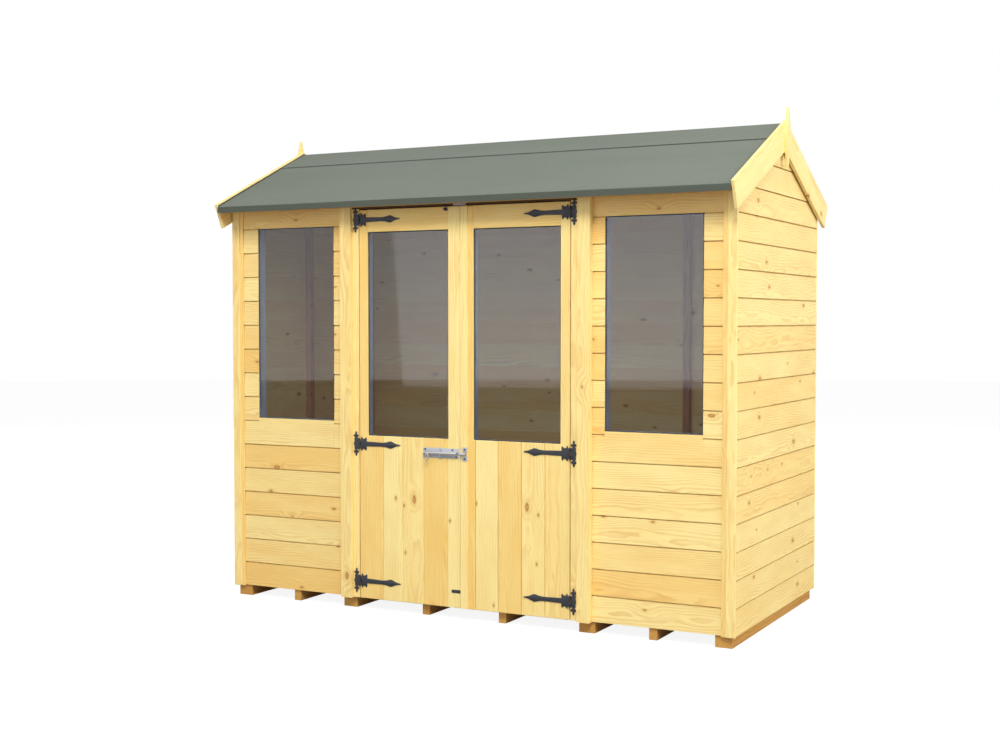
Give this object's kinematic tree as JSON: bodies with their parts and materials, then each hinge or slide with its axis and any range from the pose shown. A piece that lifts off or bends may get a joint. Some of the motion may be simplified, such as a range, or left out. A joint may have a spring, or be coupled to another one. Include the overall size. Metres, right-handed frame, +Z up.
{
  "type": "summer house",
  "caption": "Small apex summer house of pine boards on bearers, with hinged double doors and a bolt, fixed side windows, felt roof, bargeboards and finials.",
  "frame": {"origin": "on the ground under the middle of the house, between the bearers", "axes": "+X along the ridge and the front, the doors face -Y, +Z up"},
  "size_m": [2.502, 1.374, 2.1818],
  "materials": {
    "pine_boards": "planed pine boards with small knots",
    "planed_trim": "planed light pine",
    "rough_timber": "rough sawn treated softwood",
    "roofing_felt": "green mineral felt",
    "black_iron": "black lacquered steel",
    "zinc": "bright zinc plate",
    "glazing": "clear glazing"
  },
  "bodies": {
    "house": {"floor_boards": "rough_timber", "floor_bearers": "rough_timber", "front_left_base": "pine_boards", "front_left_sides": "pine_boards", "front_left_header": "pine_boards", "front_right_base": "pine_boards", "front_right_sides": "pine_boards", "front_right_header": "pine_boards", "door_head": "planed_trim", "left_jamb": "planed_trim", "right_jamb": "planed_trim", "left_cover_strip": "planed_trim", "right_cover_strip": "planed_trim", "back_wall": "pine_boards", "left_wall": "pine_boards", "right_wall": "pine_boards", "front_corner_trims": "planed_trim", "back_corner_trims": "planed_trim", "front_studs": "rough_timber", "back_studs": "rough_timber", "side_studs": "rough_timber", "bottom_plates": "rough_timber", "top_plates": "rough_timber", "window_rails": "rough_timber", "roof_boards_front": "rough_timber", "roof_boards_back": "rough_timber", "felt_front": "roofing_felt", "felt_back": "roofing_felt", "felt_ridge": "roofing_felt", "front_eaves_batten": "rough_timber", "back_eaves_batten": "rough_timber", "left_bargeboards": "planed_trim", "right_bargeboards": "planed_trim", "left_finial": "planed_trim", "right_finial": "planed_trim", "left_window_glass": "glazing", "right_window_glass": "glazing", "left_hinge_plates": "black_iron", "right_hinge_plates": "black_iron"},
    "left_leaf": {"left_door_panel": "pine_boards", "left_door_stiles": "pine_boards", "left_door_top": "pine_boards", "left_door_ledges": "rough_timber", "left_door_glass": "glazing", "left_door_straps": "black_iron", "bolt_plate": "zinc"},
    "bolt": {"bolt_rod": "zinc"},
    "right_leaf": {"right_door_panel": "pine_boards", "right_door_stiles": "pine_boards", "right_door_top": "pine_boards", "right_door_ledges": "rough_timber", "right_door_glass": "glazing", "right_door_straps": "black_iron", "right_door_strip": "planed_trim", "bolt_keeper": "zinc"}
  },
  "joints": [
    {"name": "left_door_hinge", "type": "hinge", "parent": "house", "child": "left_leaf", "pos_m": [-0.514, -0.594, 0.9], "axis": [0, 0, -1], "range_deg": [0, 105]},
    {"name": "right_door_hinge", "type": "hinge", "parent": "house", "child": "right_leaf", "pos_m": [0.514, -0.594, 0.9], "axis": [0, 0, 1], "range_deg": [0, 105]},
    {"name": "bolt_slide", "type": "slide", "parent": "left_leaf", "child": "bolt", "axis": [1, 0, 0], "range_m": [0, 0.045]}
  ]
}
